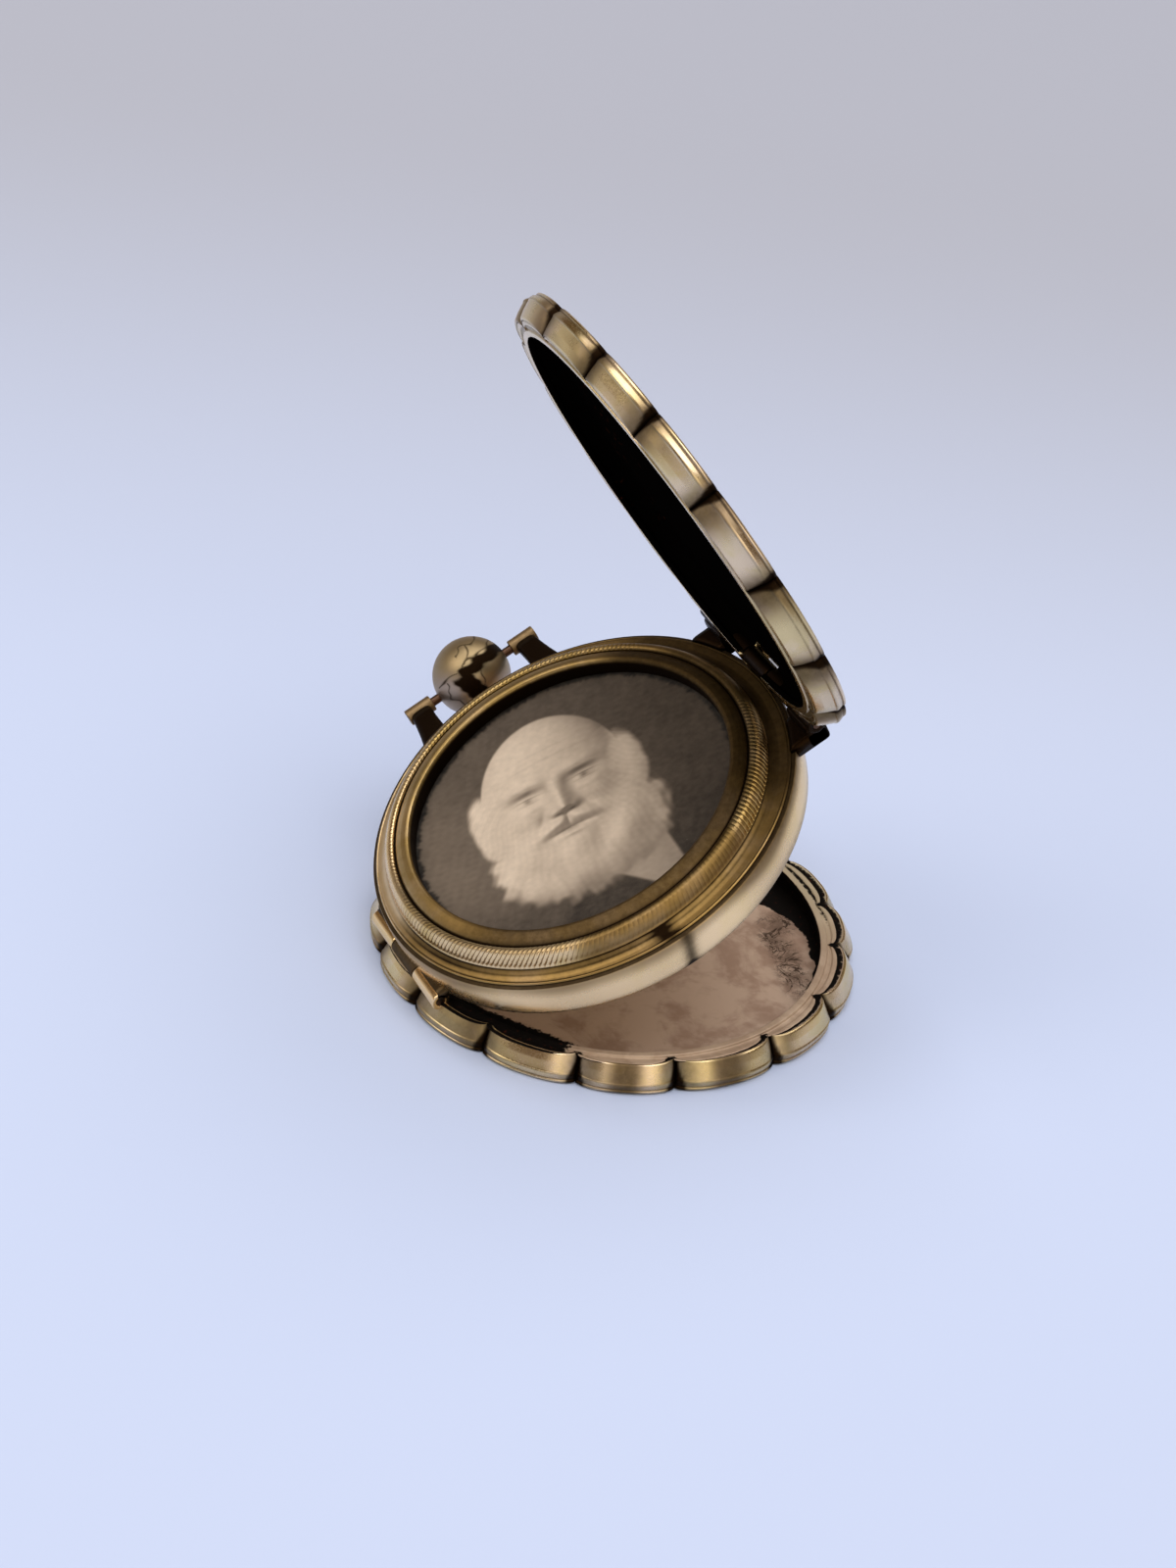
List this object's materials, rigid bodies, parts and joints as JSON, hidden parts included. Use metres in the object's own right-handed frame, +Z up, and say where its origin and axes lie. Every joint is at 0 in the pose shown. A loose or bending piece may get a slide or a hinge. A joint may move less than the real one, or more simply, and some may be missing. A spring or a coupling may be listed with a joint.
{
  "type": "scallop locket",
  "caption": "Round scalloped photo locket of worn brass, standing open, with a hinged picture frame between two shallow covers and a ball pendant on a pin.",
  "frame": {"origin": "centre of the back cover's outer face, on which the open locket stands", "axes": "+Z up out of the back cover's mouth, +X from the back cover's hinge towards the front cover's hinge, +Y along the hinge axes towards the ball pendant"},
  "size_m": [0.0314, 0.0357, 0.045],
  "materials": {
    "cover_brass": "worn, with dark tarnish in the notches",
    "frame_brass": "polished and rubbed",
    "bezel_brass": "milled, with tarnish in the grooves",
    "back_brass": "plain, dull",
    "picture_card": "matt printed card, sepia",
    "pin_copper": "dull reddish",
    "ball_brass": "polished, with patches of dark tarnish"
  },
  "bodies": {
    "back": {"back_cover": "cover_brass", "back_hinge_pin": "pin_copper"},
    "frame": {"frame_band": "frame_brass", "milled_bezel": "bezel_brass", "picture": "picture_card", "frame_back": "back_brass", "ball_pin": "pin_copper"},
    "front": {"front_cover": "cover_brass", "front_hinge_pin": "pin_copper"},
    "ball": {"ball_pendant": "ball_brass"}
  },
  "joints": [
    {"name": "back_hinge", "type": "hinge", "parent": "back", "child": "frame", "pos_m": [-0.01405, 0, 0.002], "axis": [0, -1, 0], "range_deg": [-31, 55]},
    {"name": "front_hinge", "type": "hinge", "parent": "frame", "child": "front", "pos_m": [0.00824, 0, 0.01976], "axis": [0, 1, 0], "range_deg": [-86.9, 0]},
    {"name": "ball_swivel", "type": "hinge", "parent": "frame", "child": "ball", "pos_m": [-0.00257, 0.0175, 0.01017], "axis": [0.8572, 0, 0.515], "continuous": true}
  ]
}
